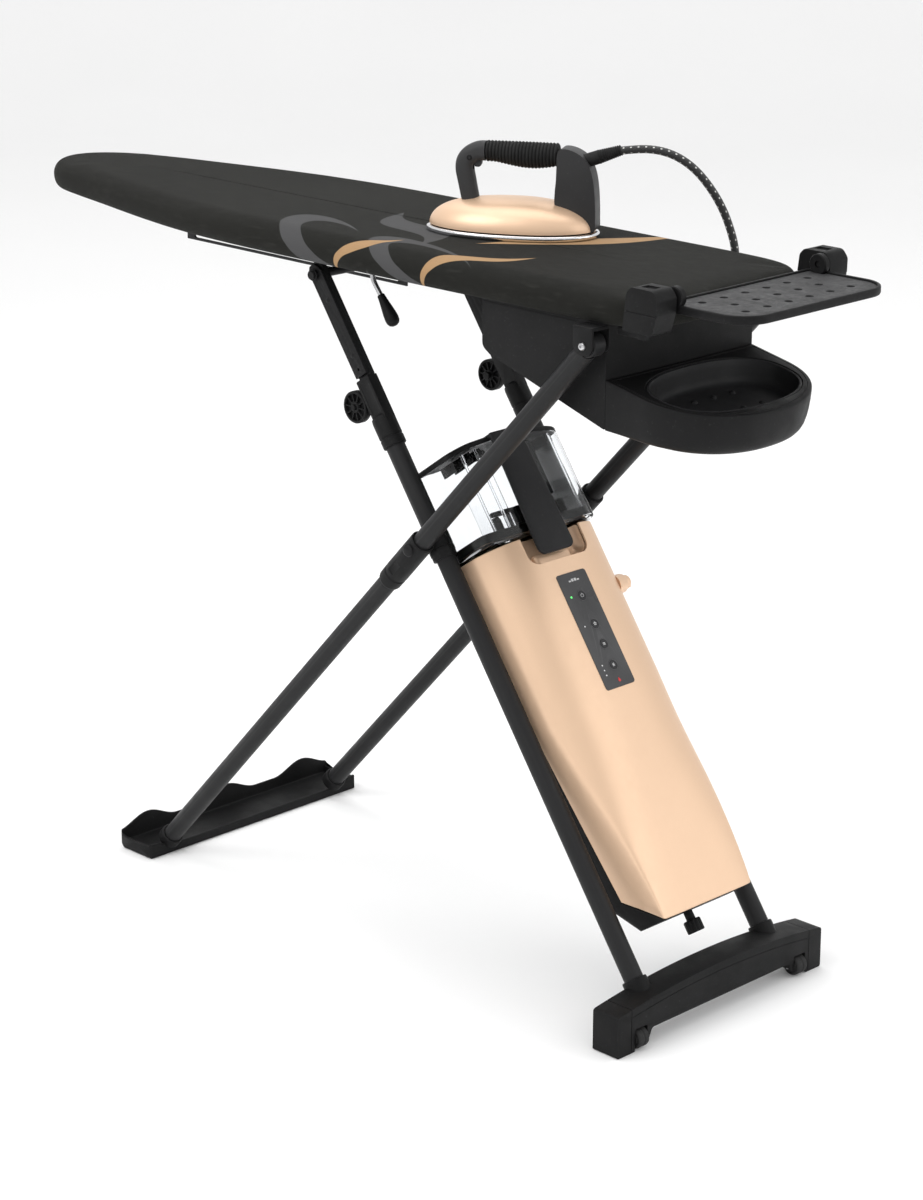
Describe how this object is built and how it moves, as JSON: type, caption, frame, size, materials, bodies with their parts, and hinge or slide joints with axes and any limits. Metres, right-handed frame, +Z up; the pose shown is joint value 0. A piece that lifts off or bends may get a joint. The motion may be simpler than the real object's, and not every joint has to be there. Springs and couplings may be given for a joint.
{
  "type": "ironing system",
  "caption": "Active ironing system: padded board on a folding scissor stand with a steam generator on the inner legs, a hinged iron rest and a steam iron on a hose.",
  "frame": {"origin": "on the floor, at the middle of the whole (bounding box bottom centre)", "axes": "+Z up; X runs along the board, its nose at -X and the iron rest at +X; Y runs across it; the iron's tip points towards -X and -Y"},
  "size_m": [1.41, 0.4, 1.0697],
  "materials": {
    "black_plastic": "fine moulded grain",
    "grey_tube": "dark grey powder coat",
    "steel_parts": "plated",
    "champagne_shell": "pale rose-gold lacquer",
    "grey_plastic": "satin",
    "rubber": "soft matt",
    "soleplate_steel": "polished edge",
    "boiler_steel": "rolled sheet",
    "cover_fabric": "woven cotton with printed loops",
    "pad_felt": "felt",
    "clear_tank": "clear moulded plastic",
    "white_plastic": "satin",
    "board_green": "coated laminate"
  },
  "bodies": {
    "inner_stand": {"foot_bar": "black_plastic", "inner_leg_left": "grey_tube", "inner_leg_right": "grey_tube", "upper_link_left": "grey_tube", "upper_link_right": "grey_tube", "top_cross_bar": "steel_parts", "cross_hub_left": "black_plastic", "cross_hub_right": "black_plastic", "wheel_fork_left": "black_plastic", "wheel_fork_right": "black_plastic", "generator_cover": "champagne_shell", "generator_back": "black_plastic", "boiler": "boiler_steel", "water_pump": "black_plastic", "circuit_board": "board_green", "control_panel": "grey_plastic"},
    "outer_stand": {"outer_leg_left": "grey_tube", "outer_leg_right": "grey_tube", "cross_collar_left": "black_plastic", "cross_collar_right": "black_plastic", "foot_trough": "black_plastic"},
    "board": {"board_deck": "grey_tube", "board_pad": "pad_felt", "board_cover": "cover_fabric", "height_rail": "grey_tube", "pivot_bracket_left": "black_plastic", "pivot_bracket_right": "black_plastic", "blower_housing": "black_plastic", "fan_motor": "steel_parts", "iron_tray": "black_plastic", "basin_insert": "grey_plastic", "rest_bracket_left": "black_plastic", "rest_bracket_right": "black_plastic", "hose_clip": "black_plastic", "steam_hose": "rubber"},
    "iron": {"iron_soleplate": "soleplate_steel", "iron_body": "champagne_shell", "handle_front": "black_plastic", "handle_rear": "black_plastic", "handle_grip": "rubber", "strain_relief": "rubber"},
    "iron_rest": {"rest_frame": "black_plastic", "rest_mat": "rubber"},
    "water_tank": {"water_tank": "clear_tank", "tank_handle": "black_plastic", "filter_cartridge": "white_plastic"},
    "impeller": {"impeller": "white_plastic"},
    "height_lever": {"height_lever": "black_plastic"},
    "steam_trigger": {"steam_trigger": "grey_plastic"},
    "side_knob": {"side_knob": "champagne_shell"},
    "drain_plug": {"drain_plug": "black_plastic"},
    "roller_left": {"roller_left": "rubber"},
    "roller_right": {"roller_right": "rubber"},
    "wheel_left": {"wheel_left": "black_plastic"},
    "wheel_right": {"wheel_right": "black_plastic"},
    "button_power": {"button_power": "grey_plastic"},
    "button_fan": {"button_fan": "grey_plastic"},
    "button_mode": {"button_mode": "grey_plastic"},
    "button_steam": {"button_steam": "grey_plastic"}
  },
  "joints": [
    {"name": "stand_fold", "type": "hinge", "parent": "inner_stand", "child": "outer_stand", "pos_m": [0.18895, 0, 0.56985], "axis": [0, 1, 0], "range_deg": [-5.4, 59], "stiffness_Nm_per_rad": 30, "springref_deg": -114.59},
    {"name": "board_tilt", "type": "hinge", "parent": "outer_stand", "child": "board", "pos_m": [0.4866, 0, 0.8857], "axis": [0, 1, 0], "range_deg": [-26.9, 2.6]},
    {"name": "iron_lift", "type": "slide", "parent": "board", "child": "iron", "axis": [0, 0, 1], "range_m": [0, 0.12], "deforming": ["steam_hose"]},
    {"name": "trigger_pull", "type": "hinge", "parent": "iron", "child": "steam_trigger", "pos_m": [0.13836, -0.00525, 1.0471], "axis": [0.5, -0.866, 0], "range_deg": [0, 10]},
    {"name": "rest_fold", "type": "hinge", "parent": "board", "child": "iron_rest", "pos_m": [0.593, 0, 0.955], "axis": [0, -1, 0], "range_deg": [0, 172]},
    {"name": "lever_lift", "type": "hinge", "parent": "board", "child": "height_lever", "pos_m": [0.039, -0.095, 0.906], "axis": [0, -1, 0], "range_deg": [0, 18]},
    {"name": "impeller_spin", "type": "hinge", "parent": "board", "child": "impeller", "pos_m": [0.4, 0, 0.862], "axis": [0, 0, 1], "continuous": true},
    {"name": "tank_lift", "type": "slide", "parent": "inner_stand", "child": "water_tank", "axis": [-0.5741, 0, 0.8188], "range_m": [0, 0.05]},
    {"name": "knob_turn", "type": "hinge", "parent": "inner_stand", "child": "side_knob", "pos_m": [0.30101, 0.1062, 0.48843], "axis": [0, 1, 0], "range_deg": [0, 90]},
    {"name": "plug_turn", "type": "hinge", "parent": "inner_stand", "child": "drain_plug", "pos_m": [0.52645, 0, 0.11034], "axis": [-0.5741, 0, 0.8188], "range_deg": [0, 180]},
    {"name": "roller_spin_left", "type": "hinge", "parent": "inner_stand", "child": "roller_left", "pos_m": [0.575, -0.15425, 0.0145], "axis": [0, 1, 0], "continuous": true},
    {"name": "wheel_spin_left", "type": "hinge", "parent": "inner_stand", "child": "wheel_left", "pos_m": [0.04153, -0.124, 0.72173], "axis": [0, 1, 0], "continuous": true},
    {"name": "roller_spin_right", "type": "hinge", "parent": "inner_stand", "child": "roller_right", "pos_m": [0.575, 0.15425, 0.0145], "axis": [0, 1, 0], "continuous": true},
    {"name": "wheel_spin_right", "type": "hinge", "parent": "inner_stand", "child": "wheel_right", "pos_m": [0.04153, 0.124, 0.72173], "axis": [0, 1, 0], "continuous": true},
    {"name": "press_power", "type": "slide", "parent": "inner_stand", "child": "button_power", "axis": [-0.8188, 0, -0.5741], "range_m": [0, 0.0008]},
    {"name": "press_fan", "type": "slide", "parent": "inner_stand", "child": "button_fan", "axis": [-0.8188, 0, -0.5741], "range_m": [0, 0.0008]},
    {"name": "press_mode", "type": "slide", "parent": "inner_stand", "child": "button_mode", "axis": [-0.8188, 0, -0.5741], "range_m": [0, 0.0008]},
    {"name": "press_steam", "type": "slide", "parent": "inner_stand", "child": "button_steam", "axis": [-0.8188, 0, -0.5741], "range_m": [0, 0.0008]}
  ],
  "couplings": [
    {"joint": "board_tilt", "follows": "stand_fold", "ratio": -0.452}
  ]
}
